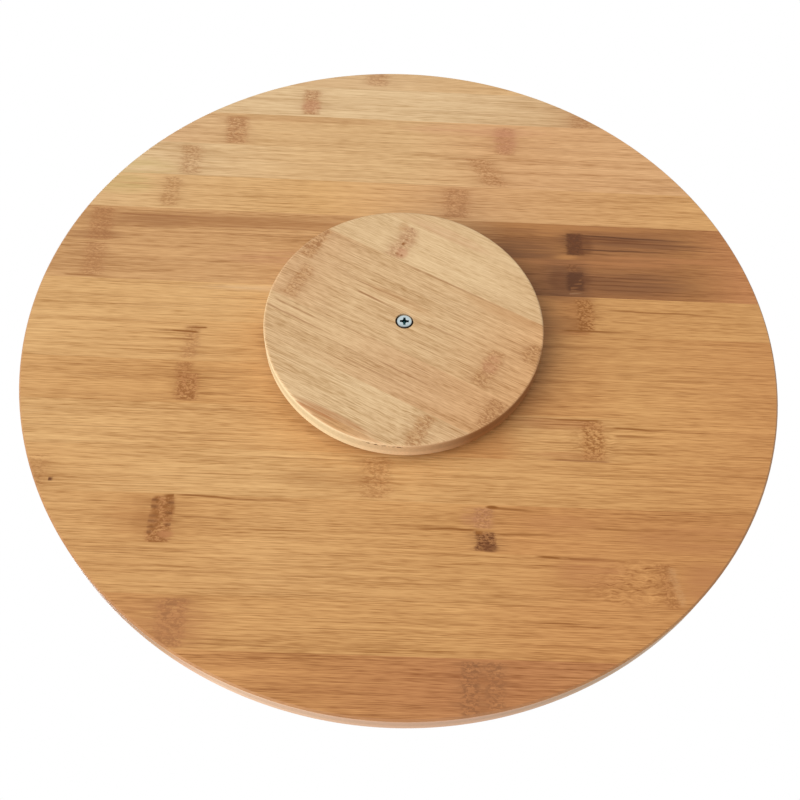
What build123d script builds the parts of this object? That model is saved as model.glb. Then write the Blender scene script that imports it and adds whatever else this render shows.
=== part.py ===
"""A bamboo lazy susan turntable: a round tray that spins on a smaller round base.

Both boards are glued up from bamboo strips. A ring of caged balls near the rim of the base
carries the tray, and a screw with a sleeve and a bush holds the two boards together.
It stands the way it is used, tray on top, with its origin at the centre of the base's underside.
"""
import os
from math import radians, sqrt, tan

from build123d import *

# ---- Boards, in millimetres ----
tray_diameter = 400
tray_thickness = 15
tray_top_round = 2
tray_under_chamfer = 1
base_diameter = 146
base_thickness = 11
base_round = 1.2

# ---- Strips that the boards are glued from: equal ones between two that the rim trims ----
tray_strip_count = 16
tray_first_strip = 15.6
tray_last_strip = 28.8
base_strip_count = 7
base_first_strip = 14.2
base_last_strip = 4.8
base_grain_angle = 27

# ---- Ball bearing between the boards ----
ball_diameter = 8
ball_count = 16
track_depth = 1.0
track_inset = 17
race_width = 12
race_thickness = 0.8
cage_width = 12
cage_thickness = 2.6
cage_edge_round = 0.5

# ---- Pivot at the centre ----
screw_diameter = 4
screw_engagement = 6.4
screw_tip_chamfer = 0.5
head_diameter = 8.8
head_height = 3.1
head_round = 1.3
head_recess = 0.2
cross_width = 4.7
cross_slot = 1.3
cross_depth = 2.1
cross_draft_angle = 25
washer_diameter = 9
washer_thickness = 0.8
sleeve_diameter = 6
bush_wall = 1
bush_flange_thickness = 1
insert_diameter = 8
insert_length = 8
insert_chamfer = 0.4

# ---- Clearances ----
running_fit = 0.05
ball_clearance = 0.08
pocket_clearance = 0.15
seat_clearance = 0.05
screw_clearance = 0.15
washer_clearance = 0.3
race_relief = 0.3
end_play = 0.1
blind_hole_clearance = 0.5

# ---- Heights that follow from the stack of pieces ----
ball_radius = ball_diameter / 2
bearing_gap = ball_diameter - 2 * track_depth
ball_plane = base_thickness + bearing_gap / 2
tray_underside = base_thickness + bearing_gap
tray_top = tray_underside + tray_thickness
washer_bottom = head_recess + head_height
washer_top = washer_bottom + washer_thickness
flange_bottom = washer_top + end_play
counterbore_depth = flange_bottom + bush_flange_thickness
screw_tip = tray_underside + screw_engagement
insert_top = tray_underside + insert_length

# ---- Diameters that follow from what fits in what ----
ball_circle_radius = base_diameter / 2 - track_inset
screw_hole_diameter = screw_diameter + 2 * screw_clearance
bush_bore_diameter = sleeve_diameter + 2 * running_fit
bush_diameter = bush_bore_diameter + 2 * bush_wall
bush_hole_diameter = bush_diameter + 2 * seat_clearance
counterbore_diameter = max(head_diameter, washer_diameter) + 2 * washer_clearance
bush_flange_diameter = counterbore_diameter - 2 * seat_clearance
insert_bore_diameter = screw_diameter + 2 * seat_clearance
insert_hole_diameter = insert_diameter + 2 * seat_clearance

# ---- Track section, measured from the centre of a ball ----
face_drop = bearing_gap / 2
back_drop = face_drop + race_thickness
groove_radius = ball_radius + ball_clearance
back_radius = groove_radius + race_thickness
groove_reach = sqrt(groove_radius**2 - face_drop**2)
back_reach = sqrt(back_radius**2 - back_drop**2)


def disc(diameter, bottom, top):
    """A round slab on the pivot axis."""
    slab = Cylinder(diameter / 2, top - bottom, align=(Align.CENTER, Align.CENTER, Align.MIN))
    return Pos(0, 0, bottom) * slab


def tube(outer_diameter, inner_diameter, bottom, top):
    """A round slab with a round hole through it."""
    return disc(outer_diameter, bottom, top) - disc(inner_diameter, bottom, top)


def above_the_balls(piece):
    """The mirror image of a lower piece, on the other side of the ball plane."""
    return mirror(piece, about=Plane.XY.offset(ball_plane))


def cut_into_strips(board, diameter, count, first_strip, last_strip, grain_angle):
    """The strips of a board, from its back edge to its front edge, across the grain."""
    strip_width = (diameter - first_strip - last_strip) / (count - 2)
    first_seam = diameter / 2 - first_strip
    seams = [first_seam - strip_width * number for number in range(count - 1)]
    edges = [diameter, *seams, -diameter]
    strips = []
    for back, front in zip(edges, edges[1:]):
        band = Pos(0, (front + back) / 2, 0) * Box(2 * diameter, back - front, 2 * tray_top)
        strips.append(board & (Rot(0, 0, grain_angle) * band))
    return strips


# ---- Ball bearing ----

def race():
    """The lower steel track: two flat flanges and a round groove, pressed from one thickness."""
    flange = race_width / 2
    face = ball_plane - face_drop
    back = ball_plane - back_drop
    middle = ball_circle_radius
    inner_face = Line((middle - groove_reach, face), (middle - flange, face))
    inner_edge = Line((middle - flange, face), (middle - flange, back))
    inner_back = Line((middle - flange, back), (middle - back_reach, back))
    groove_back = ThreePointArc(
        (middle - back_reach, back),
        (middle, ball_plane - back_radius),
        (middle + back_reach, back),
    )
    outer_back = Line((middle + back_reach, back), (middle + flange, back))
    outer_edge = Line((middle + flange, back), (middle + flange, face))
    outer_face = Line((middle + flange, face), (middle + groove_reach, face))
    groove = ThreePointArc(
        (middle + groove_reach, face),
        (middle, ball_plane - groove_radius),
        (middle - groove_reach, face),
    )
    inner_side = [groove, inner_face, inner_edge, inner_back]
    outer_side = [groove_back, outer_back, outer_edge, outer_face]
    return revolve(Plane.XZ * make_face(inner_side + outer_side), Axis.Z)


def race_channel():
    """The groove routed for the lower track: a step for its flanges, and a deeper middle."""
    middle = 2 * ball_circle_radius
    step = race_width + 2 * seat_clearance
    deep = 2 * (back_reach + race_relief)
    flange_step = tube(middle + step, middle - step, ball_plane - back_drop, ball_plane)
    deep_middle = tube(middle + deep, middle - deep, ball_plane - back_radius - race_relief, ball_plane)
    return flange_step + deep_middle


def around_the_ball_circle(piece):
    """Copies of a piece at every place in the ring of balls."""
    return [place * piece for place in PolarLocations(ball_circle_radius, ball_count)]


def balls():
    """The ring of steel balls."""
    ball = Pos(0, 0, ball_plane) * Sphere(ball_radius)
    return Compound(children=around_the_ball_circle(ball))


def ball_cage():
    """A flat plastic ring whose round pockets wrap the balls enough to hold it up on them."""
    middle = 2 * ball_circle_radius
    bottom = ball_plane - cage_thickness / 2
    cage = tube(middle + cage_width, middle - cage_width, bottom, bottom + cage_thickness)
    cage = fillet(cage.edges().filter_by(GeomType.CIRCLE), cage_edge_round)
    pocket = Pos(0, 0, ball_plane) * Sphere(ball_radius + pocket_clearance)
    return cage - around_the_ball_circle(pocket)


# ---- Pivot ----

def cross_recess():
    """The driver recess in the screw's head: four wings that run in towards a middle cone."""
    wing_reach = cross_width / 2
    wing_end = wing_reach - cross_depth * tan(radians(cross_draft_angle))
    low = (Align.CENTER, Align.CENTER, Align.MIN)
    wings = Box(cross_width, cross_slot, cross_depth, align=low)
    wings += Box(cross_slot, cross_width, cross_depth, align=low)
    wings &= Cone(wing_reach, wing_end, cross_depth, align=low)
    middle = Cone(cross_slot, cross_slot / 2, cross_depth, align=low)
    return Pos(0, 0, head_recess) * (wings + middle)


def pivot_screw():
    """A pan head screw that points up through the base into the tray."""
    head = disc(head_diameter, head_recess, washer_bottom)
    head = fillet(head.edges().sort_by(Axis.Z)[0], head_round)
    shank = disc(screw_diameter, washer_bottom, screw_tip)
    shank = chamfer(shank.edges().sort_by(Axis.Z)[-1], screw_tip_chamfer)
    return head + shank - cross_recess()


def pivot_bush():
    """A flanged bush, pressed into the base from below, that the sleeve turns in."""
    flange = tube(bush_flange_diameter, bush_bore_diameter, flange_bottom, counterbore_depth)
    return flange + tube(bush_diameter, bush_bore_diameter, counterbore_depth, base_thickness)


def thread_insert():
    """The metal insert in the tray that the screw is driven into."""
    insert = disc(insert_diameter, tray_underside, insert_top)
    insert = chamfer(insert.edges().filter_by(GeomType.CIRCLE), insert_chamfer)
    return insert - disc(insert_bore_diameter, tray_underside, insert_top)


# ---- Boards ----

def base_board():
    """The small board that stands on the table."""
    board = disc(base_diameter, 0, base_thickness)
    board = fillet(board.edges().filter_by(GeomType.CIRCLE), base_round)
    board -= disc(counterbore_diameter, 0, counterbore_depth)
    board -= disc(bush_hole_diameter, counterbore_depth, base_thickness)
    return board - race_channel()


def tray_board():
    """The wide board that things stand on, unbroken on top."""
    board = disc(tray_diameter, tray_underside, tray_top)
    board = chamfer(board.edges().sort_by(Axis.Z)[0], tray_under_chamfer)
    board = fillet(board.edges().sort_by(Axis.Z)[-1], tray_top_round)
    board -= disc(insert_hole_diameter, tray_underside, insert_top + blind_hole_clearance)
    return board - above_the_balls(race_channel())


nodes = {
    "lower_race": race(),
    "upper_race": above_the_balls(race()),
    "bearing_balls": balls(),
    "ball_cage": ball_cage(),
    "pivot_screw": pivot_screw(),
    "screw_washer": tube(washer_diameter, screw_hole_diameter, washer_bottom, washer_top),
    "pivot_sleeve": tube(sleeve_diameter, screw_hole_diameter, washer_top, tray_underside),
    "pivot_bush": pivot_bush(),
    "thread_insert": thread_insert(),
}

tray_strips = cut_into_strips(
    tray_board(), tray_diameter, tray_strip_count, tray_first_strip, tray_last_strip, 0
)
for number, strip in enumerate(tray_strips, 1):
    nodes[f"tray_strip_{number:02}"] = strip

base_strips = cut_into_strips(
    base_board(), base_diameter, base_strip_count, base_first_strip, base_last_strip, base_grain_angle
)
for number, strip in enumerate(base_strips, 1):
    nodes[f"base_strip_{number}"] = strip

os.makedirs("parts", exist_ok=True)
for name, shape in nodes.items():
    export_step(shape, f"parts/{name}.step")
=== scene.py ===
"""Looks, light and camera for the bamboo lazy susan turntable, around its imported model.

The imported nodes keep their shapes, and each gets a procedural material.
Lengths on a board are in millimetres and are read on its underside, seen from below with the
first strip at the top: "along" runs to the right with the grain, "across" runs to the first strip.
"""
from math import cos, radians, sin
from typing import NamedTuple

import bpy
from mathutils import Matrix, Vector


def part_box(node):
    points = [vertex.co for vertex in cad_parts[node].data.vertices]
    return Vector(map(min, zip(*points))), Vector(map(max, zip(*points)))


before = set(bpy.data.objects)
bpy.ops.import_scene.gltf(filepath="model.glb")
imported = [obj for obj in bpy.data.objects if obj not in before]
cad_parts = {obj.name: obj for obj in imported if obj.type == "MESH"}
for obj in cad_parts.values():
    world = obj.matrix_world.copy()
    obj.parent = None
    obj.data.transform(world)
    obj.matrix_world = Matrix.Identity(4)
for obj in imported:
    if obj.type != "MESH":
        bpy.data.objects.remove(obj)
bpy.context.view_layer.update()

MM = 0.001
IN_MM = (1 / MM, 1 / MM, 1 / MM)
IN_MM_FROM_BELOW = (-1 / MM, 1 / MM, 1 / MM)

# ---- Sizes that the materials follow, in millimetres, all but the base's radius read from the frame ----
tray_low, tray_high = (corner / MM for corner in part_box("tray_strip_09"))
base_low, base_high = (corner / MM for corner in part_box("base_strip_4"))
head_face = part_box("pivot_screw")[0].z / MM
tray_radius = tray_high.x
base_radius = 73

# ---- Wood tones, as sRGB hex, from pale to dark ----
TONES = {
    "cream": "F0DCB2",
    "peach": "F3C9A4",
    "pearl": "EBC79C",
    "shell": "E2B089",
    "flax": "DAB88B",
    "straw": "D4AF82",
    "wheat": "D5AC7A",
    "gold": "D5A66E",
    "sand": "D0A67A",
    "honey": "D1A171",
    "ochre": "CF9D65",
    "moss": "C9B274",
    "tan": "C89866",
    "amber": "C9955D",
    "caramel": "C48C56",
    "hazel": "BF8F60",
    "rose": "C48A68",
    "toffee": "BC8450",
    "rust": "B57B4E",
    "brick": "A8663F",
    "russet": "A26F43",
    "umber": "9A6840",
    "bark": "8C5728",
    "walnut": "845838",
    "cocoa": "683D22",
    "soot": "5C381B",
}
SHEEN = 0.014
LEAST_LIGHT = 0.002


def tone(name):
    """A named tone as linear red, green, blue and alpha, less what the varnish's sheen adds."""
    channels = []
    for start in (0, 2, 4):
        level = int(TONES[name][start:start + 2], 16) / 255
        channels.append(max(((level + 0.055) / 1.055) ** 2.4 - SHEEN, LEAST_LIGHT))
    return (*channels, 1)


# ---- What marks a strip ----

class Knuckle(NamedTuple):
    """A ragged band across the grain where the stem had a joint."""
    along: float
    low: float
    high: float
    width: float
    strength: float
    tone: str = "bark"
    lean: float = 0
    body: str = "rust"
    flecks: float = 1


class Streak(NamedTuple):
    """A thin dark line with the grain, which fades towards its end."""
    start: float
    end: float
    across: float
    thickness: float
    strength: float
    tone: str = "bark"
    rise: float = 0


class Patch(NamedTuple):
    """A soft stain, longer with the grain than across it."""
    along: float
    across: float
    length: float
    height: float
    strength: float
    tone: str


class Curl(NamedTuple):
    """A place where the fibres curl instead of running straight."""
    along: float
    across: float
    length: float
    height: float
    strength: float


class Strip(NamedTuple):
    """One strip of bamboo: its tones from left to right, and its marks."""
    tones: tuple
    marks: tuple = ()
    contrast: float = 1


class Pits(NamedTuple):
    """Where the near rim has small dark holes: from and to along the board, and how high up."""
    start: float
    end: float
    height: float


class Board(NamedTuple):
    """What the strips of one board share. The rim's tones run from left to right, and partly paint the light
    and shade on the rim.
    """
    name: str
    radius: float
    bottom: float
    thickness: float
    grain_angle: float
    roughness: float
    fibre_length: float
    edge_painted_shade: float
    rim: tuple
    pits: Pits | None = None


TRAY = Board(
    name="tray",
    radius=tray_radius,
    bottom=tray_low.z,
    thickness=tray_high.z - tray_low.z,
    grain_angle=0,
    roughness=0.42,
    fibre_length=60,
    edge_painted_shade=0.36,
    # Rim tones, partly the wood's own colour and partly painted light: lighter and darker along the rim
    # where the light on it differs.
    rim=(
        (-140, "umber"), (-112, "hazel"), (-104, "honey"), (-97, "shell"),
        (-80, "peach"), (0, "shell"), (40, "shell"), (90, "sand"),
    ),
)
BASE = Board(
    name="base",
    radius=base_radius,
    bottom=0,
    thickness=base_high.z - base_low.z,
    grain_angle=radians(27),
    roughness=0.5,
    fibre_length=34,
    edge_painted_shade=0,
    # Rim tones, partly the end grain's own colour and partly painted light: pale cream on the lit left, dark
    # umber on the shaded right.
    rim=((-36, "cream"), (0, "pearl"), (36, "umber")),
    pits=Pits(-18, 2, 1.8),
)

TRAY_STRIPS = (
    Strip(
        ((-110, "straw"), (-20, "straw"), (60, "wheat")),
        (Knuckle(-20, 187, 201, 13, 0.45, "umber"), Patch(-85, 190, 25, 6, 0.4, "hazel")),
        0.7,
    ),
    Strip(
        ((-130, "flax"), (20, "flax"), (80, "straw"), (125, "hazel")),
        (
            Knuckle(-60, 160, 182, 10, 0.6, "umber"),
            Knuckle(106, 158, 173, 14, 0.4, "umber"),
            Patch(-60, 168, 7, 7, 0.4, "rose"),
        ),
        0.85,
    ),
    Strip(
        ((-150, "sand"), (-90, "wheat"), (0, "wheat"), (50, "honey"), (150, "honey")),
        (
            Knuckle(-103, 134, 157, 13, 0.6, "umber"),
            Knuckle(59, 134, 157, 11, 0.6, "umber"),
            Patch(59, 146, 9, 12, 0.5, "rose"),
            Patch(-60, 156, 60, 3, 0.4, "hazel"),
            Patch(40, 153, 50, 5, 0.35, "rose"),
        ),
    ),
    Strip(
        ((-170, "flax"), (-60, "wheat"), (0, "wheat"), (60, "honey"), (170, "honey")),
        (
            Knuckle(-128, 109, 132, 12, 0.4, "bark"),
            Knuckle(47, 109, 131, 15, 0.45, "bark", -0.5),
            Patch(-158, 112, 26, 10, 0.4, "moss"),
        ),
    ),
    Strip(
        ((-180, "wheat"), (-50, "gold"), (30, "honey"), (180, "ochre")),
        (
            Knuckle(-136, 84, 107, 10, 0.35, "bark"),
            Knuckle(29, 84, 107, 15, 0.5, "umber"),
            Patch(-165, 100, 22, 9, 0.4, "moss"),
        ),
    ),
    Strip(
        (
            (-190, "tan"), (-60, "tan"), (30, "hazel"), (58, "russet"), (90, "russet"),
            (105, "umber"), (140, "umber"), (160, "russet"), (188, "rust"),
        ),
        (
            Patch(84, 76.5, 13, 3.5, 0.75, "toffee"),
            Patch(90, 59.5, 8, 2, 0.8, "toffee"),
            Knuckle(-172, 58, 82, 13, 0.6, "umber"),
            Patch(-110, 75, 100, 5.5, 0.7, "russet"),
            Patch(-145, 73, 26, 6, 0.5, "umber"),
            Patch(-176, 62, 20, 4, 0.5, "umber"),
            Streak(-166, -95, 77, 1.0, 0.7, "umber", -1.5),
            Streak(-120, 20, 71, 0.8, 0.5, "umber", -1.0),
            Patch(66, 63, 26, 9, 0.9, "walnut"),
            Patch(100, 81, 60, 3, 0.6, "toffee"),
            Patch(100, 77, 70, 2.5, 0.5, "umber"),
            Patch(124, 71, 50, 6, 0.9, "walnut"),
            Patch(114, 72.5, 24, 3, 0.45, "cocoa"),
            Patch(101, 68, 7, 9, 0.6, "cocoa"),
            Knuckle(96.5, 60.5, 77, 9.5, 0.9, "soot", 0.05, "cocoa", 0.5),
            Knuckle(95, 61, 76.5, 5, 0.65, "soot", 0.05, "cocoa", 0.5),
            Streak(94, 178, 74.4, 0.9, 1.0, "soot", -2.0),
            Streak(98, 150, 72.6, 0.7, 0.8, "cocoa", -1.2),
            Streak(104, 196, 70.5, 0.9, 0.7, "cocoa", -2.0),
            Streak(94, 156, 65.2, 0.85, 1.0, "soot", -0.5),
            Streak(98, 128, 62.4, 1.0, 0.6, "cocoa", -0.6),
            Streak(140, 196, 67.5, 0.7, 0.6, "cocoa", -1.2),
            Patch(145, 59.5, 50, 2.5, 0.7, "rust"),
        ),
        1.15,
    ),
    Strip(
        (
            (-195, "tan"), (-80, "tan"), (40, "hazel"), (62, "russet"), (74, "umber"), (84, "walnut"),
            (98, "walnut"), (106, "umber"), (140, "umber"), (162, "russet"), (190, "rust"),
        ),
        (
            Knuckle(-172, 33, 57, 12, 0.45, "umber"),
            Streak(-188, -155, 33.5, 1.2, 0.7, "bark", -0.5),
            Patch(87, 42.5, 8, 8, 0.6, "cocoa"),
            Patch(110, 55.5, 60, 3, 0.6, "rust"),
            Patch(122, 42, 46, 9, 0.9, "walnut"),
            Patch(98, 43, 7, 8, 0.5, "cocoa"),
            Knuckle(95, 35.5, 49.5, 9.5, 0.9, "soot", 0.05, "soot", 0.7),
            Knuckle(94.5, 36, 49, 6, 0.7, "soot", 0.05, "soot", 0.6),
            Knuckle(94, 48.5, 55, 6, 0.6, "cocoa", 0, "umber", 0.9),
            Streak(98, 165, 46, 0.8, 0.8, "cocoa", -1.0),
            Streak(98, 150, 43.5, 0.7, 0.7, "cocoa", -0.5),
            Streak(98, 160, 40.5, 0.8, 0.7, "cocoa", -0.5),
            Streak(100, 185, 37.2, 0.7, 0.6, "cocoa", -0.8),
            Streak(120, 190, 48.5, 0.7, 0.5, "cocoa", -1.2),
            Streak(91, 100, 34.4, 0.8, 0.3, "sand", 0.8),
            Streak(92, 98, 38.2, 1.1, 0.55, "umber", 0.9),
            Streak(99, 93, 40.8, 0.9, 0.5, "umber", -0.8),
            Streak(92, 99, 36.2, 0.8, 0.5, "umber", -0.5),
            Streak(97, 99.5, 43.5, 1.0, 0.5, "umber", 1.0),
            Patch(-40, 50, 70, 7, 0.3, "rose"),
        ),
        1.15,
    ),
    Strip(
        (
            (-195, "gold"), (-50, "gold"), (30, "amber"), (66, "caramel"), (90, "toffee"),
            (98, "toffee"), (104, "amber"), (195, "amber"),
        ),
        (
            Curl(100, 18, 16, 14, 0.5),
            Patch(88, 14, 14, 6, 0.45, "russet"),
            Patch(92, 30.5, 16, 3, 0.7, "umber"),
            Knuckle(99, 9, 31, 10, 0.85, "bark", 0, "toffee"),
            Streak(108, 198, 23, 1.0, 0.8, "bark", -2.0),
            Streak(84, 132, 9.5, 1.2, 0.9, "bark", -0.5),
            Streak(112, 140, 16, 0.8, 0.5, "bark", -0.5),
            Streak(-100, -60, 27, 0.8, 0.35),
            Patch(-60, 29, 60, 3, 0.35, "pearl"),
        ),
    ),
    Strip(
        ((-198, "gold"), (-60, "ochre"), (60, "caramel"), (120, "amber"), (198, "caramel")),
        (
            Knuckle(-112, -18, 4, 8, 0.4, "umber"),
            Streak(-107, -140, -0.5, 1.2, 1.0, "bark", 0.8),
            Streak(-104, -119, 2.0, 1.1, 0.95, "bark", -0.5),
            Streak(-109, -138, -5.5, 1.0, 0.7, "bark"),
        ),
    ),
    Strip(
        (
            (-198, "ochre"), (-110, "amber"), (-40, "ochre"),
            (60, "caramel"), (120, "amber"), (198, "caramel"),
        ),
        (
            Curl(-112, -33, 12, 12, 0.4),
            Knuckle(-111, -43, -26, 11, 0.75, "bark"),
            Knuckle(-114, -28, -19, 9, 0.5, "bark"),
            Streak(-106, -80, -38, 1.2, 0.6),
            Streak(-107, -84, -29, 1.0, 0.5),
        ),
        1.15,
    ),
    Strip(
        (
            (-195, "gold"), (-60, "ochre"), (50, "caramel"), (64, "ochre"),
            (100, "ochre"), (120, "amber"), (195, "caramel"),
        ),
        (
            Curl(98, -57, 16, 12, 0.8),
            Knuckle(98, -69, -45, 12, 0.75, "bark", 0, "caramel"),
            Patch(80, -48.5, 26, 4.5, 0.5, "rust"),
            Patch(86, -66, 22, 2.5, 0.4, "rust"),
            Streak(108, 60, -69.3, 1.5, 0.8, "umber"),
            Streak(92, 62, -59, 0.8, 0.6),
            Streak(104, 66, -45.6, 1.0, 0.9),
            Streak(100, 60, -48.6, 0.7, 0.6),
            Streak(108, 140, -50, 1.2, 0.8, "bark", -1.5),
            Streak(108, 136, -54, 1.1, 0.7),
            Streak(104, 150, -62, 0.9, 0.4),
        ),
        1.2,
    ),
    Strip(
        ((-190, "ochre"), (-70, "gold"), (40, "ochre"), (110, "amber"), (185, "caramel")),
        (
            Curl(-14, -84, 14, 10, 0.4),
            Knuckle(-12, -94, -71, 14, 0.4, "bark"),
            Knuckle(-178, -94, -76, 10, 0.3, "bark"),
            Streak(-171.6, -168.6, -89.5, 1.8, 1.0, "cocoa"),
            Patch(-35, -84, 30, 8, 0.3, "bark"),
            Streak(-80, 60, -74, 0.9, 0.4, "bark", -1),
        ),
        1.1,
    ),
    Strip(
        (
            (-180, "ochre"), (-115, "amber"), (-60, "ochre"),
            (20, "amber"), (60, "caramel"), (170, "toffee"),
        ),
        (
            Patch(-124, -110, 6, 7, 0.35, "bark"),
            Patch(-124, -100, 6, 4, 0.3, "bark"),
            Knuckle(-114.3, -120.8, -96, 11, 0.8, "bark", 0.05, "rust", 1.0),
            Patch(-117.8, -100.5, 2.6, 4.5, 0.6, "bark"),
            Patch(-117.5, -109, 3.2, 6, 0.85, "bark"),
            Patch(-110.8, -103, 3.2, 7, 0.6, "bark"),
            Patch(-111, -116, 4.5, 2.6, 0.85, "rust"),
            Streak(-109, -116, -96.2, 1.9, 1.0, "bark", -0.5),
            Streak(-120, -115.5, -98.6, 1.3, 0.6, "cocoa"),
            Streak(-120, -115, -102.2, 1.6, 0.6, "cocoa", -0.4),
            Streak(-120.4, -114.5, -106.8, 1.3, 0.6, "cocoa", 0.4),
            Streak(-120.6, -114.5, -109.6, 1.7, 0.6, "cocoa"),
            Streak(-120.6, -115, -112.6, 1.2, 0.6, "cocoa", 0.3),
            Streak(-120.2, -116.5, -115.2, 1.6, 0.6, "cocoa"),
            Streak(-108.6, -113.5, -99.8, 1.6, 0.5, "cocoa"),
            Streak(-108.8, -114, -105.2, 1.3, 0.5, "cocoa", 0.4),
            Streak(-108.8, -113, -111.2, 1.6, 0.5, "cocoa"),
            Streak(-119, -108, -120.3, 1.2, 0.8, "bark"),
            Knuckle(41, -108, -96, 9, 0.6, "umber", 0, "rose"),
            Patch(34, -102, 5, 6, 0.25, "rose"),
            Patch(45.5, -96.2, 3.5, 1.1, 1.0, "bark"),
            Knuckle(42, -119.5, -109, 10, 0.95, "cocoa", 0, "umber", 0.35),
            Patch(44, -117.5, 5, 2.5, 0.7, "cocoa"),
            Streak(37, 42, -109.8, 2.2, 0.8, "bark"),
            Streak(-112, -35, -96.5, 1.2, 0.85, "bark", -2.4),
            Streak(-108, -60, -107, 0.9, 0.5, "bark", -1),
            Streak(39, 2, -108.5, 1.1, 0.9, "bark"),
            Streak(42, 78, -97.5, 1.4, 0.8, "bark", -3),
            Streak(46, 90, -110, 1.1, 0.7, "bark"),
            Streak(90, 160, -106, 1.0, 0.6, "bark", -1),
            Patch(-128, -108, 14, 14, 0.4, "toffee"),
            Patch(78, -104, 22, 6, 0.35, "rust"),
            Patch(150, -110, 45, 9, 0.45, "rust"),
        ),
        1.2,
    ),
    Strip(
        ((-165, "amber"), (-60, "ochre"), (40, "amber"), (90, "caramel"), (160, "toffee")),
        (
            Curl(112, -133, 26, 14, 1.0),
            Patch(150, -133, 17, 13, 0.75, "rust"),
            Knuckle(128, -145, -122, 7, 0.5, "bark", -0.15),
            Knuckle(132.5, -144, -124, 3.4, 0.22, "honey", -0.2, "honey", 0.5),
            Streak(64, 118, -121.4, 1.3, 1.0, "bark", -0.6),
            Patch(92, -128, 20, 9, 0.6, "rust"),
        ),
        1.15,
    ),
    Strip(
        ((-140, "toffee"), (-80, "amber"), (20, "amber"), (80, "caramel"), (135, "caramel")),
        (
            Curl(-103, -160, 14, 12, 0.5),
            Knuckle(-103, -171, -147, 14, 0.75, "umber", 0, "rust"),
            Patch(-108, -160, 30, 13, 0.4, "rust"),
            Streak(-107, -99, -150.5, 1.4, 0.6, "umber"),
            Streak(-108, -102, -155, 1.3, 0.6, "umber", 0.5),
            Streak(-103, -97, -160.5, 1.3, 0.6, "umber", -0.5),
        ),
        1.25,
    ),
    Strip(
        ((-100, "caramel"), (-40, "toffee"), (30, "rust"), (95, "rust")),
        (
            Knuckle(34, -200, -172, 9, 0.75, "walnut"),
            Knuckle(45, -200, -172, 9, 0.6, "walnut"),
            Patch(10, -186, 80, 12, 0.12, "brick"),
        ),
        1.4,
    ),
)

BASE_STRIPS = (
    Strip(((-45, "straw"), (0, "flax"), (40, "flax")), (Patch(-5, 62, 28, 4, 0.25, "rose"),), 0.65),
    Strip(
        ((-64, "flax"), (-30, "flax"), (20, "flax"), (64, "straw")),
        (
            Knuckle(-25, 33, 57, 9, 0.45, "umber", 0, "rose"),
            Patch(-22, 38.5, 4, 4, 0.5, "rose"),
            Patch(-30, 55, 3, 4, 0.5, "hazel"),
            Streak(-25.2, -22.8, 44.2, 2.0, 0.9, "bark"),
            Streak(-25.5, -22.0, 36.6, 1.6, 0.6, "umber"),
            Streak(-22.2, -20.4, 36.9, 1.1, 0.9, "umber"),
            Streak(-25.2, -23.4, 40.9, 1.2, 0.9, "umber"),
            Streak(-25.0, -23.2, 47.6, 1.1, 0.8, "umber"),
            Streak(-27, -23.5, 53.3, 0.9, 0.6, "umber"),
            Streak(-25.8, -23.8, 56.0, 1.3, 0.5, "umber"),
        ),
        0.8,
    ),
    Strip(
        ((-73, "sand"), (-30, "straw"), (20, "straw"), (73, "honey")),
        (
            Knuckle(-66, 10, 33, 8, 0.7, "umber", 0, "tan"),
            Knuckle(67, 8, 21, 8, 0.65, "umber", 0, "tan"),
            Patch(40, 30, 34, 4, 0.4, "hazel"),
            Patch(-12, 10, 26, 4, 0.35, "hazel"),
            Streak(-20, 62, 32.6, 0.8, 0.5, "umber"),
            Streak(-36, 8, 11.0, 0.6, 0.55, "umber", 1),
            Streak(-26, 14, 13.5, 0.5, 0.4, "umber"),
        ),
    ),
    Strip(
        ((-74, "sand"), (-30, "straw"), (20, "straw"), (73, "honey")),
        (
            Knuckle(-61, -16, 7, 8, 0.55, "umber", 0, "tan"),
            Knuckle(51, -17, 8, 9, 0.6, "umber", 0, "tan"),
            Curl(52, -5, 9, 14, 0.4),
            Patch(51, -2, 5, 8, 0.4, "rose"),
            Streak(-32, -6, 4.5, 1.0, 0.8, "umber", -0.6),
            Streak(10, 45, 4.0, 0.8, 0.5, "umber"),
        ),
    ),
    Strip(
        ((-72, "straw"), (-30, "straw"), (20, "sand"), (72, "honey")),
        (
            Curl(64, -26, 8, 12, 0.4),
            Knuckle(64, -37, -18, 9, 0.7, "umber", 0, "hazel"),
            Streak(-68, -28, -21, 0.9, 0.6, "umber"),
            Streak(-72, -20, -26, 0.9, 0.6, "umber"),
            Streak(0, 42, -28, 0.8, 0.5, "umber"),
            Streak(-20, 50, -35, 0.8, 0.4, "umber"),
        ),
    ),
    Strip(
        ((-60, "straw"), (0, "flax"), (40, "straw"), (60, "sand")),
        (
            Curl(32, -54, 18, 14, 0.6),
            Knuckle(37, -64, -43, 8, 0.6, "umber", 0, "tan"),
            Patch(-4, -67, 24, 2.5, 0.6, "rust"),
        ),
    ),
    Strip(((-26, "sand"), (0, "tan"), (24, "sand")), (Patch(-14, -68.5, 14, 2.4, 0.9, "rust"),)),
)


# ---- Building a material's nodes ----

SEED_STEP = (7.31, 3.17, 5.73)


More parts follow.
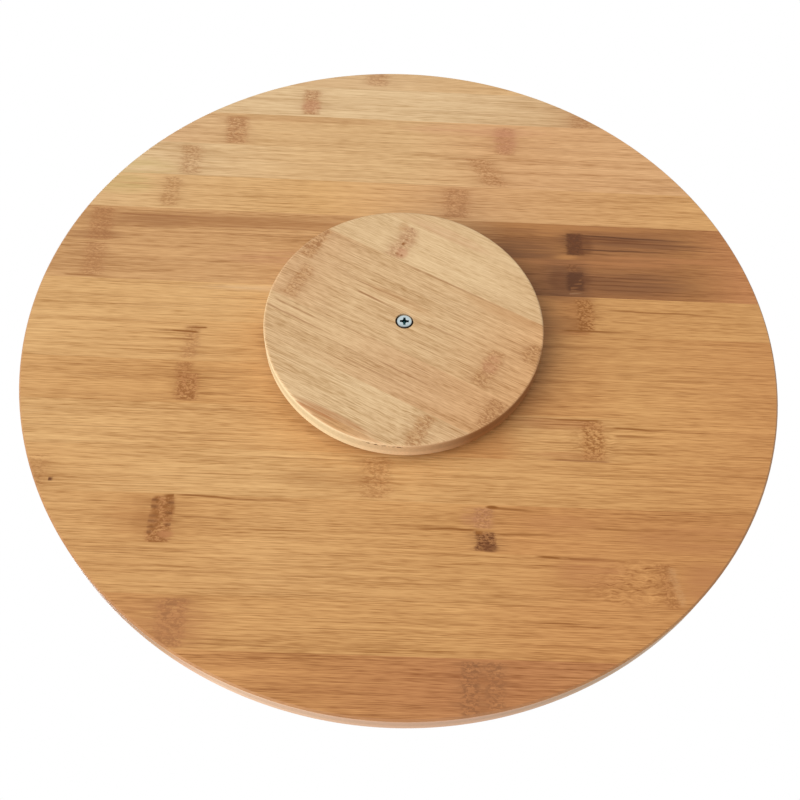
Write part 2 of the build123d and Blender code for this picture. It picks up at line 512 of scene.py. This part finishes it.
class Graph:
    """The nodes of one material, each added by one short call."""

    def __init__(self, name, **surface):
        self.material = bpy.data.materials.new(name)
        self.material.use_nodes = True
        self.tree = self.material.node_tree
        self.shader = self.tree.nodes["Principled BSDF"]
        self.surface(**surface)

    def feed(self, socket, value):
        """Links a socket to another node, or sets its own value."""
        if isinstance(value, bpy.types.NodeSocket):
            self.tree.links.new(value, socket)
        else:
            socket.default_value = value

    def node(self, kind, inputs=(), **settings):
        """A new node with these settings and inputs."""
        node = self.tree.nodes.new("ShaderNode" + kind)
        for name, value in settings.items():
            setattr(node, name, value)
        for socket, value in zip(node.inputs, inputs):
            if value is not None:
                self.feed(socket, value)
        return node

    def math(self, operation, *values):
        """One step of arithmetic."""
        return self.node("Math", values, operation=operation).outputs[0]

    def smooth(self, value, low, high):
        """0 at low and 1 at high, with a smooth run between them."""
        inputs = (value, low, high, 0.0, 1.0)
        return self.node("MapRange", inputs, interpolation_type="SMOOTHSTEP").outputs[0]

    def band(self, value, middle, half, soft):
        """1 within half of the middle, and 0 beyond a soft edge."""
        away = self.math("ABSOLUTE", self.math("SUBTRACT", value, middle))
        return self.smooth(away, half + soft / 2, half - soft / 2)

    def mapped(self, vector, scale, shift=(0, 0, 0), turn=0):
        """A vector scaled, then turned about Z, then shifted."""
        inputs = (vector, shift, (0, 0, turn), scale)
        return self.node("Mapping", inputs).outputs[0]

    def noise(self, vector, grain, seed=0.0, detail=2.0, roughness=0.5):
        """Noise of 0 to 1 whose lumps have this length, height and depth."""
        scale = tuple(1 / size for size in grain)
        place = self.mapped(vector, scale, tuple(seed * step for step in SEED_STEP))
        inputs = (place, None, 1.0, detail, roughness)
        return self.node("TexNoise", inputs).outputs["Fac"]

    def mix(self, factor, first, second, blend="MIX"):
        """One colour laid over another."""
        node = self.node("Mix", data_type="RGBA", blend_type=blend)
        for socket, value in ((0, factor), (6, first), (7, second)):
            self.feed(node.inputs[socket], value)
        return node.outputs[2]

    def ramp(self, factor, stops):
        """Colours along a scale from 0 to 1."""
        node = self.node("ValToRGB", (factor,))
        elements = node.color_ramp.elements
        while len(elements) < len(stops):
            elements.new(1)
        for element, (position, colour) in zip(elements, stops):
            element.position = position
            element.color = colour
        return node.outputs[0]

    def surface(self, **inputs):
        """Feeds the shader's own sockets, with "_" for each space in a name."""
        for socket, value in inputs.items():
            self.feed(self.shader.inputs[socket.replace("_", " ")], value)

    def bump(self, height, distance):
        """A shallow relief, in metres."""
        node = self.node("Bump", (1.0, distance))
        self.feed(node.inputs["Height"], height)
        self.surface(Normal=node.outputs[0])


# ---- Bamboo ----

class Layer(NamedTuple):
    """Noise that makes up the grain. Its length is a share of the board's fibre length."""
    length: float
    height: float
    depth: float
    detail: float
    roughness: float


# From the widest to the finest, and last the thin dark lines.
CLOUDS = Layer(1.4, 9, 9, 2, 0.5)
STREAKS = Layer(1.8, 2.0, 3, 2, 0.55)
FIBRES = Layer(1, 0.55, 1, 2, 0.6)
THREADS = Layer(0.15, 0.45, 0.6, 1, 0.5)
LINES = Layer(1.3, 0.52, 1.2, 2, 0.5)

# How long the lumps of the other noises are with the grain, how high across it and how deep.
BOARD_BEND = (130, 26, 30)
BOARD_QUIVER = (18, 6, 10)
CURL_BEND = (7, 3.0, 6)
CURL_LUMPS = (5, 1.5, 3)
KNUCKLE_BEND = (4.2, 2.4, 4)
KNUCKLE_EDGE = (26, 2.2, 3)
KNUCKLE_BLOTS = (2.1, 1.05, 3)
KNUCKLE_FLECKS = (2.4, 0.75, 1.6)
KNUCKLE_FRINGE = (11, 0.9, 2)
STREAK_BEND = (22, 60, 60)
STREAK_BREAKS = (12, 3, 3)
PATCH_GRAIN = (38, 2.0, 6)
RIM_PORES = (1.2, 1.2, 0.7)
RIM_HOLES = (1.6, 1.6, 0.7)

# How wide the fibres' stray is from side to side, in millimetres, where they curl and inside a knuckle.
CURL_PUSH = 4.0
KNUCKLE_PUSH = 1.5

WOOD_RELIEF = 0.06 * MM

# A strip's marks take their seeds after those of its grain.
MARK_SEEDS = 10
SEEDS_EACH = 4


def ellipse(graph, along, across, mark):
    """How deep inside a mark's ellipse a place lies, from 0 to 1."""
    wide = graph.math("DIVIDE", graph.math("SUBTRACT", along, mark.along), mark.length)
    high = graph.math("DIVIDE", graph.math("SUBTRACT", across, mark.across), mark.height)
    square = graph.math("MULTIPLY_ADD", wide, wide, graph.math("MULTIPLY", high, high))
    return graph.smooth(graph.math("SQRT", square), 1.15, 0.45)


def knuckle_zone(graph, place, along, across, mark, seed):
    """How deep a place lies inside a knuckle's ragged band, and inside the soft halo around it."""
    middle = (mark.low + mark.high) / 2
    soft = mark.width * (0.75 - 0.5 * mark.strength)
    ragged = graph.noise(place, KNUCKLE_EDGE, seed, 3, 0.65)
    wander = graph.math("MULTIPLY", graph.math("SUBTRACT", ragged, 0.5), 3 + soft)
    leaning = graph.math("MULTIPLY_ADD", graph.math("SUBTRACT", across, middle), mark.lean, mark.along)
    offset = graph.math("SUBTRACT", along, graph.math("ADD", leaning, wander))
    reach = graph.band(across, middle, (mark.high - mark.low) / 2 - 0.6, 2.0)
    core = graph.math("MULTIPLY", graph.band(offset, 0, mark.width * 0.46, soft), reach)
    halo = graph.math("MULTIPLY", graph.band(offset, 0, mark.width * 0.8, mark.width * 1.2), reach)
    return core, halo


def lumpy_sway(graph, place, sway, zone, grain, push, seed):
    """Adds lumps to how far the fibres stray sideways inside a zone."""
    lumps = graph.math("SUBTRACT", graph.noise(place, grain, seed, 1, 0.5), 0.5)
    return graph.math("MULTIPLY_ADD", graph.math("MULTIPLY", lumps, push), zone, sway)


def knuckle_layer(graph, place, zone, colour, mark, seed):
    """Lays a knuckle's stained body, dark blots, pale flecks and fringe over the colour."""
    core, halo = zone
    blots = graph.smooth(graph.noise(place, KNUCKLE_BLOTS, seed + 1, 3, 0.7), 0.45, 0.55)
    flecks = graph.smooth(graph.noise(place, KNUCKLE_FLECKS, seed + 2, 2, 0.5), 0.55, 0.65)
    fringe = graph.smooth(graph.noise(place, KNUCKLE_FRINGE, seed + 3, 2, 0.5), 0.42, 0.62)
    plain = colour
    stain = graph.math("MULTIPLY_ADD", fringe, 0.5 * mark.strength, 0.05)
    colour = graph.mix(graph.math("MULTIPLY", halo, stain), colour, tone(mark.tone))
    body = graph.math("MULTIPLY", core, min(mark.strength * (0.35 + 0.6 * mark.strength), 0.95))
    colour = graph.mix(body, colour, tone(mark.body))
    dark = graph.math("MULTIPLY", core, graph.math("MULTIPLY", blots, mark.strength))
    colour = graph.mix(dark, colour, tone(mark.tone))
    pale = graph.math("MULTIPLY", core, graph.math("MULTIPLY", flecks, 0.7 * mark.flecks))
    return graph.mix(pale, colour, plain)


def streak_layer(graph, place, along, across, colour, mark, seed):
    """Lays a thin dark line over the colour, fading towards its end."""
    length = mark.end - mark.start
    waver = graph.noise(place, STREAK_BEND, seed, 2, 0.5)
    sway = min(1.6, abs(length) * 0.05)
    travelled = graph.math("MULTIPLY_ADD", along, 1 / length, -mark.start / length)
    line = graph.math("MULTIPLY_ADD", travelled, mark.rise, mark.across - mark.rise / 2)
    line = graph.math("MULTIPLY_ADD", graph.math("SUBTRACT", waver, 0.5), sway, line)
    away = graph.math("ABSOLUTE", graph.math("SUBTRACT", across, line))
    width = graph.smooth(away, mark.thickness * 0.85, mark.thickness * 0.1)
    ends = graph.math("MULTIPLY", graph.smooth(travelled, 0, 0.12), graph.smooth(travelled, 1, 0.4))
    broken = graph.smooth(graph.noise(place, STREAK_BREAKS, seed + 3, 2, 0.5), 0.1, 0.45)
    factor = graph.math("MULTIPLY", width, graph.math("MULTIPLY", ends, mark.strength))
    return graph.mix(graph.math("MULTIPLY", factor, broken), colour, tone(mark.tone))


def patch_layer(graph, place, along, across, colour, mark, seed):
    """Lays a soft stain over the colour, drawn out with the grain."""
    drawn = graph.smooth(graph.noise(place, PATCH_GRAIN, seed, 2, 0.55), 0.20, 0.58)
    factor = graph.math("MULTIPLY", ellipse(graph, along, across, mark), mark.strength)
    return graph.mix(graph.math("MULTIPLY", factor, drawn), colour, tone(mark.tone))


def tones_along(graph, along, board, tones):
    """A board's colour from left to right, through tones at given places."""
    stops = [((spot + board.radius) / (2 * board.radius), tone(name)) for spot, name in tones]
    return graph.ramp(graph.math("MULTIPLY_ADD", along, 0.5 / board.radius, 0.5), stops)


def rim_layer(graph, coordinates, side, colour, board):
    """Lays the board's rim tones, which partly paint light and shade, over the colour where the surface
    faces sideways.
    """
    place = graph.mapped(coordinates["Object"], IN_MM_FROM_BELOW)
    parts = graph.node("SeparateXYZ", (place,)).outputs
    height = graph.math("SUBTRACT", parts[2], board.bottom)
    core = graph.band(height, board.thickness * 0.38, board.thickness * 0.2, board.thickness * 0.2)
    pores = graph.noise(place, RIM_PORES, 6, 2, 0.6)
    level = graph.math("MULTIPLY_ADD", core, -0.22, graph.math("MULTIPLY_ADD", pores, 0.5, 0.4))
    shade = graph.ramp(level, ((0.3, (0.74, 0.73, 0.70, 1)), (0.7, (1.04, 1.04, 1.04, 1))))
    rim = graph.mix(1.0, tones_along(graph, parts[0], board, board.rim), shade, "MULTIPLY")
    if board.pits:
        start, end, middle = board.pits
        window = graph.band(parts[0], (start + end) / 2, (end - start) / 2, 4)
        window = graph.math("MULTIPLY", window, graph.band(height, middle, 0.5, 0.8))
        window = graph.math("MULTIPLY", window, graph.smooth(parts[1], 0, -20))
        holes = graph.smooth(graph.noise(place, RIM_HOLES, 8, 1, 0.5), 0.50, 0.58)
        rim = graph.mix(graph.math("MULTIPLY", window, holes), rim, tone("soot"))
    return graph.mix(graph.math("MULTIPLY", side, 0.95), colour, rim)


def bamboo(board, number, strip, seed):
    """The wood of one strip, through its whole thickness."""
    graph = Graph(f"{board.name}_bamboo_{number}", Specular_IOR_Level=0.35)
    coordinates = graph.node("TexCoord").outputs
    place = graph.mapped(coordinates["Object"], IN_MM_FROM_BELOW, turn=board.grain_angle)
    parts = graph.node("SeparateXYZ", (place,)).outputs
    along, across, up = parts[0], parts[1], parts[2]

    # The fibres stray a little sideways, and more where they curl.
    waver = graph.noise(place, BOARD_BEND, seed, 2, 0.5)
    quiver = graph.noise(place, BOARD_QUIVER, seed + 0.5, 2, 0.5)
    sway = graph.math("MULTIPLY", graph.math("SUBTRACT", waver, 0.5), 1.8)
    sway = graph.math("MULTIPLY_ADD", graph.math("SUBTRACT", quiver, 0.5), 0.12, sway)
    marks = [(mark, seed + MARK_SEEDS + SEEDS_EACH * order) for order, mark in enumerate(strip.marks)]
    zones = {}
    for mark, start in marks:
        if isinstance(mark, Curl):
            zones[start] = graph.math("MULTIPLY", ellipse(graph, along, across, mark), mark.strength)
            sway = lumpy_sway(graph, place, sway, zones[start], CURL_BEND, CURL_PUSH, start)
        if isinstance(mark, Knuckle):
            zones[start] = knuckle_zone(graph, place, along, across, mark, start)
            sway = lumpy_sway(graph, place, sway, zones[start][0], KNUCKLE_BEND, KNUCKLE_PUSH, start)
    swayed = graph.node("CombineXYZ", (along, graph.math("ADD", across, sway), up)).outputs[0]

    # The layers of the grain are summed around a middle level.
    fields = []
    for order, layer in enumerate((CLOUDS, STREAKS, FIBRES, THREADS, LINES), 1):
        lumps = (layer.length * board.fibre_length, layer.height, layer.depth)
        fields.append(graph.noise(swayed, lumps, seed + order, layer.detail, layer.roughness))
    clouds, streaks, fibres, threads, lines = fields
    lines = graph.smooth(lines, 0.58, 0.70)
    grain = graph.math("MULTIPLY", graph.math("SUBTRACT", clouds, 0.5), 0.42)
    for field, weight in ((streaks, 0.48), (fibres, 0.80), (threads, 0.85)):
        grain = graph.math("MULTIPLY_ADD", graph.math("SUBTRACT", field, 0.5), weight, grain)
    for mark, start in marks:
        if isinstance(mark, Curl):
            lumps = graph.noise(swayed, CURL_LUMPS, start + 2, 3, 0.65)
            lumps = graph.math("MULTIPLY", graph.math("SUBTRACT", lumps, 0.5), 1.3)
            grain = graph.math("MULTIPLY_ADD", lumps, zones[start], grain)
    level = graph.math("MULTIPLY_ADD", grain, strip.contrast, 0.5)

    colour = tones_along(graph, along, board, strip.tones)
    shading = ((0.0, (0.52, 0.38, 0.18, 1)), (0.5, (1, 1, 1, 1)), (1.0, (1.30, 1.42, 1.55, 1)))
    colour = graph.mix(1.0, colour, graph.ramp(level, shading), "MULTIPLY")
    colour = graph.mix(graph.math("MULTIPLY", lines, 0.32 * strip.contrast), colour, tone("bark"))

    for mark, start in marks:
        if isinstance(mark, Knuckle):
            colour = knuckle_layer(graph, swayed, zones[start], colour, mark, start)
        if isinstance(mark, Streak):
            colour = streak_layer(graph, swayed, along, across, colour, mark, start)
        if isinstance(mark, Patch):
            colour = patch_layer(graph, swayed, along, across, colour, mark, start)
    facing = graph.node("SeparateXYZ", (coordinates["Normal"],)).outputs[2]
    facing = graph.math("ABSOLUTE", facing)
    side = graph.smooth(facing, 0.85, 0.35)
    colour = rim_layer(graph, coordinates, side, colour, board)
    # Painted shade: the chamfer between face and rim is darkened towards umber.
    edge = graph.band(facing, 0.7, 0.12, 0.1)
    colour = graph.mix(graph.math("MULTIPLY", edge, board.edge_painted_shade), colour, tone("umber"))

    relief = graph.math("MULTIPLY_ADD", fibres, 0.6, graph.math("MULTIPLY", lines, -0.5))
    relief = graph.math("MULTIPLY", relief, graph.math("SUBTRACT", 1.0, side))
    rough = graph.math("MULTIPLY_ADD", streaks, 0.14, board.roughness)
    graph.surface(Base_Color=colour, Roughness=rough)
    graph.bump(relief, WOOD_RELIEF)
    return graph.material


# ---- Metal and plastic ----

class Metal(NamedTuple):
    """A metal's light and dark colour, its least roughness and the size of its drawn lines."""
    light: tuple
    dark: tuple
    roughness: float
    stroke: tuple
    seed: float


class Plastic(NamedTuple):
    """A plastic's light and dark colour and its least roughness."""
    light: tuple
    dark: tuple
    roughness: float
    seed: float


METALS = {
    "screw_zinc": Metal((0.58, 0.66, 0.67, 1), (0.40, 0.48, 0.50, 1), 0.24, (0.5, 0.5, 0.12), 3),
    "washer_zinc": Metal((0.62, 0.66, 0.66, 1), (0.38, 0.40, 0.40, 1), 0.3, (1.2, 0.2, 0.2), 11),
    "sleeve_steel": Metal((0.60, 0.60, 0.58, 1), (0.36, 0.36, 0.35, 1), 0.25, (1.5, 1.5, 0.15), 21),
    "track_steel": Metal((0.64, 0.65, 0.65, 1), (0.42, 0.43, 0.43, 1), 0.28, (3, 0.3, 0.3), 31),
    "ball_steel": Metal((0.78, 0.79, 0.80, 1), (0.60, 0.61, 0.62, 1), 0.08, (0.8, 0.8, 0.8), 41),
    "insert_brass": Metal((0.80, 0.62, 0.30, 1), (0.55, 0.40, 0.18, 1), 0.25, (1, 1, 0.15), 51),
}
PLASTICS = {
    "cage_plastic": Plastic((0.62, 0.62, 0.60, 1), (0.52, 0.52, 0.50, 1), 0.4, 61),
    "bush_nylon": Plastic((0.78, 0.76, 0.70, 1), (0.68, 0.66, 0.60, 1), 0.35, 71),
}
CLOUD_SIZE = (6, 6, 6)
MOTTLE_SIZE = (5, 5, 5)
MOULD_TEXTURE = (0.35, 0.35, 0.35)
METAL_RELIEF = 0.01 * MM
PLASTIC_RELIEF = 0.02 * MM

# How far the screw's slots reach from its axis, in millimetres, and the colours that darken the screw: grime
# with painted shade in the driver recess, and painted shade on the head's rounded edge.
SLOT_REACH = 2.6
GRIME_AND_PAINTED_SHADE = (0.022, 0.075, 0.082, 1)
SKIRT_PAINTED_SHADE = (0.03, 0.02, 0.015, 1)


def worn_metal(name):
    """Metal with fine drawn lines and faint clouds, both in its colour and in its gloss."""
    metal = METALS[name]
    graph = Graph(name, Metallic=1.0)
    place = graph.mapped(graph.node("TexCoord").outputs["Object"], IN_MM)
    lines = graph.noise(place, metal.stroke, metal.seed, 3, 0.6)
    clouds = graph.noise(place, CLOUD_SIZE, metal.seed + 1, 2, 0.5)
    amount = graph.math("MULTIPLY_ADD", lines, 0.6, graph.math("MULTIPLY", clouds, 0.4))
    graph.surface(
        Base_Color=graph.ramp(amount, ((0.3, metal.dark), (0.62, metal.light))),
        Roughness=graph.math("MULTIPLY_ADD", amount, 0.2, metal.roughness),
    )
    graph.bump(lines, METAL_RELIEF)
    return graph


def screw_metal():
    """Zinc plate with a cool tint, grime and painted shade in the driver recess, and painted shade on the
    rounded edge, darker towards -Y.
    """
    graph = worn_metal("screw_zinc")
    place = graph.mapped(graph.node("TexCoord").outputs["Object"], IN_MM)
    parts = graph.node("SeparateXYZ", (place,)).outputs
    flat = graph.mapped(place, (1, 1, 0))
    radius = graph.node("VectorMath", (flat,), operation="LENGTH").outputs["Value"]
    inside = graph.smooth(radius, SLOT_REACH + 0.1, SLOT_REACH - 0.1)
    # Grime with painted shade: the driver recess is darkened.
    recess = graph.math("MULTIPLY", inside, graph.smooth(parts[2], head_face + 0.05, head_face + 0.25))
    # Painted shade: the head's rounded edge is darkened, more towards -Y.
    leaning = graph.math("MULTIPLY_ADD", parts[1], -0.045, parts[2])
    painted_skirt_shade = graph.smooth(leaning, head_face + 0.05, head_face + 0.33)
    painted_skirt_shade = graph.math("MULTIPLY", painted_skirt_shade, graph.math("SUBTRACT", 1.0, inside))
    plate = graph.shader.inputs["Base Color"].links[0].from_socket
    colour = graph.mix(recess, plate, GRIME_AND_PAINTED_SHADE)
    graph.surface(Base_Color=graph.mix(painted_skirt_shade, colour, SKIRT_PAINTED_SHADE))
    return graph.material


def moulded_plastic(name):
    """Moulded plastic with a fine texture and a faint mottle."""
    plastic = PLASTICS[name]
    graph = Graph(name)
    place = graph.mapped(graph.node("TexCoord").outputs["Object"], IN_MM)
    mottle = graph.noise(place, MOTTLE_SIZE, plastic.seed, 3, 0.6)
    fine = graph.noise(place, MOULD_TEXTURE, plastic.seed + 1, 2, 0.5)
    graph.surface(
        Base_Color=graph.ramp(mottle, ((0.35, plastic.dark), (0.65, plastic.light))),
        Roughness=graph.math("MULTIPLY_ADD", fine, 0.15, plastic.roughness),
    )
    graph.bump(fine, PLASTIC_RELIEF)
    return graph.material


def wear(node, material):
    """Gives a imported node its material."""
    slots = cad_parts[node].data.materials
    slots.clear()
    slots.append(material)


for number, strip in enumerate(TRAY_STRIPS, 1):
    wear(f"tray_strip_{number:02}", bamboo(TRAY, number, strip, 20 * number))
for number, strip in enumerate(BASE_STRIPS, 1):
    wear(f"base_strip_{number}", bamboo(BASE, number, strip, 500 + 20 * number))

wear("pivot_screw", screw_metal())
wear("screw_washer", worn_metal("washer_zinc").material)
wear("pivot_sleeve", worn_metal("sleeve_steel").material)
wear("bearing_balls", worn_metal("ball_steel").material)
wear("thread_insert", worn_metal("insert_brass").material)
wear("ball_cage", moulded_plastic("cage_plastic"))
wear("pivot_bush", moulded_plastic("bush_nylon"))
track_steel = worn_metal("track_steel").material
wear("lower_race", track_steel)
wear("upper_race", track_steel)


# ---- Floor, light and camera ----

FLOOR_RADIUS = 6.0
FLOOR_DROP = 0.0004
FADE_START = 0.45
FADE_END = 1.6
SPECKLE_SIZE = (0.004, 0.004, 0.004)


def make_floor():
    """A pale round floor that fades into the white around it, and is seen from above only."""
    mesh = bpy.data.meshes.new("floor")
    rim = []
    for turn in range(0, 360, 5):
        rim.append((FLOOR_RADIUS * cos(radians(turn)), FLOOR_RADIUS * sin(radians(turn)), -FLOOR_DROP))
    mesh.from_pydata(rim, [], [list(range(len(rim)))])
    floor = bpy.data.objects.new("floor", mesh)
    bpy.context.scene.collection.objects.link(floor)
    graph = Graph("floor", Roughness=0.9, Specular_IOR_Level=0.0)
    position = graph.node("TexCoord").outputs["Object"]
    distance = graph.node("VectorMath", (position,), operation="LENGTH").outputs["Value"]
    speckle = graph.noise(position, SPECKLE_SIZE, 1)
    paleness = ((0.3, (0.86, 0.86, 0.85, 1)), (0.7, (0.9, 0.9, 0.89, 1)))
    graph.surface(Base_Color=graph.ramp(speckle, paleness))
    clear = graph.node("BsdfTransparent").outputs[0]
    below = graph.node("NewGeometry").outputs["Backfacing"]
    gone = graph.math("MAXIMUM", below, graph.smooth(distance, FADE_START, FADE_END))
    blend = graph.node("MixShader", (gone, graph.shader.outputs[0], clear))
    output = next(node for node in graph.tree.nodes if node.type == "OUTPUT_MATERIAL")
    graph.feed(output.inputs["Surface"], blend.outputs[0])
    mesh.materials.append(graph.material)
    floor.visible_diffuse = False
    floor.visible_glossy = False
    floor.visible_transmission = False
    floor.visible_shadow = False


AMBIENT = 0.48


def make_world():
    """A white room: white to look at and to mirror, dimmer as a source of light."""
    world = bpy.data.worlds.new("white_room")
    world.use_nodes = True
    bpy.context.scene.world = world
    tree = world.node_tree
    background = tree.nodes["Background"]
    background.inputs["Color"].default_value = (1, 1, 1, 1)
    path = tree.nodes.new("ShaderNodeLightPath")
    seen = tree.nodes.new("ShaderNodeMath")
    seen.operation = "MAXIMUM"
    tree.links.new(path.outputs["Is Camera Ray"], seen.inputs[0])
    tree.links.new(path.outputs["Is Glossy Ray"], seen.inputs[1])
    also = tree.nodes.new("ShaderNodeMath")
    also.operation = "MAXIMUM"
    tree.links.new(seen.outputs[0], also.inputs[0])
    tree.links.new(path.outputs["Is Transmission Ray"], also.inputs[1])
    strength = tree.nodes.new("ShaderNodeMapRange")
    strength.inputs["To Min"].default_value = AMBIENT
    strength.inputs["To Max"].default_value = 1.0
    tree.links.new(also.outputs[0], strength.inputs["Value"])
    tree.links.new(strength.outputs[0], background.inputs["Strength"])


def make_lamp(name, towards, strength, softness):
    """A broad, even lamp that stands far off in the given direction."""
    light = bpy.data.lights.new(name, "SUN")
    light.energy = strength
    light.angle = radians(softness)
    lamp = bpy.data.objects.new(name, light)
    lamp.rotation_euler = Vector(towards).to_track_quat("Z", "Y").to_euler()
    bpy.context.scene.collection.objects.link(lamp)


make_floor()
make_world()
make_lamp("lamp_below", (0.80, -0.45, -0.75), 2.75, 60)
make_lamp("lamp_above", (0.30, 0.50, 0.83), 2.1, 40)

# The lens and the sensor are in millimetres, and the distances in metres.
CAMERA_LENS = 46.17
CAMERA_SENSOR = 36
CAMERA_DISTANCE = 0.5496
CAMERA_NEAR = 0.01
CAMERA_DROP = radians(56.8)
CAMERA_TURN = radians(2.4)
CAMERA_PAN = radians(0.084)
CAMERA_TILT = radians(-3.418)
CAMERA_ROLL = radians(4.279)


def turned(first, second, angle):
    """Two unit vectors turned together in their own plane."""
    return (
        first * cos(angle) + second * sin(angle),
        second * cos(angle) - first * sin(angle),
    )


def make_camera():
    """A camera close below the base, which looks up at the tray's underside."""
    target = Vector((0, 0, tray_low.z * MM))
    flat = Vector((sin(CAMERA_TURN), -cos(CAMERA_TURN), 0))
    away = flat * cos(CAMERA_DROP) + Vector((0, 0, -sin(CAMERA_DROP)))
    forward = -away
    right = Vector((-cos(CAMERA_TURN), -sin(CAMERA_TURN), 0))
    up = right.cross(forward)
    forward, right = turned(forward, right, CAMERA_PAN)
    forward, up = turned(forward, up, CAMERA_TILT)
    right, up = turned(right, up, CAMERA_ROLL)
    data = bpy.data.cameras.new("camera")
    data.lens = CAMERA_LENS
    data.sensor_width = CAMERA_SENSOR
    data.clip_start = CAMERA_NEAR
    camera = bpy.data.objects.new("camera", data)
    pose = Matrix((right, up, -forward)).transposed().to_4x4()
    pose.translation = target + away * CAMERA_DISTANCE
    camera.matrix_world = pose
    bpy.context.scene.collection.objects.link(camera)
    bpy.context.scene.camera = camera


make_camera()
bpy.context.scene.view_settings.view_transform = "Standard"
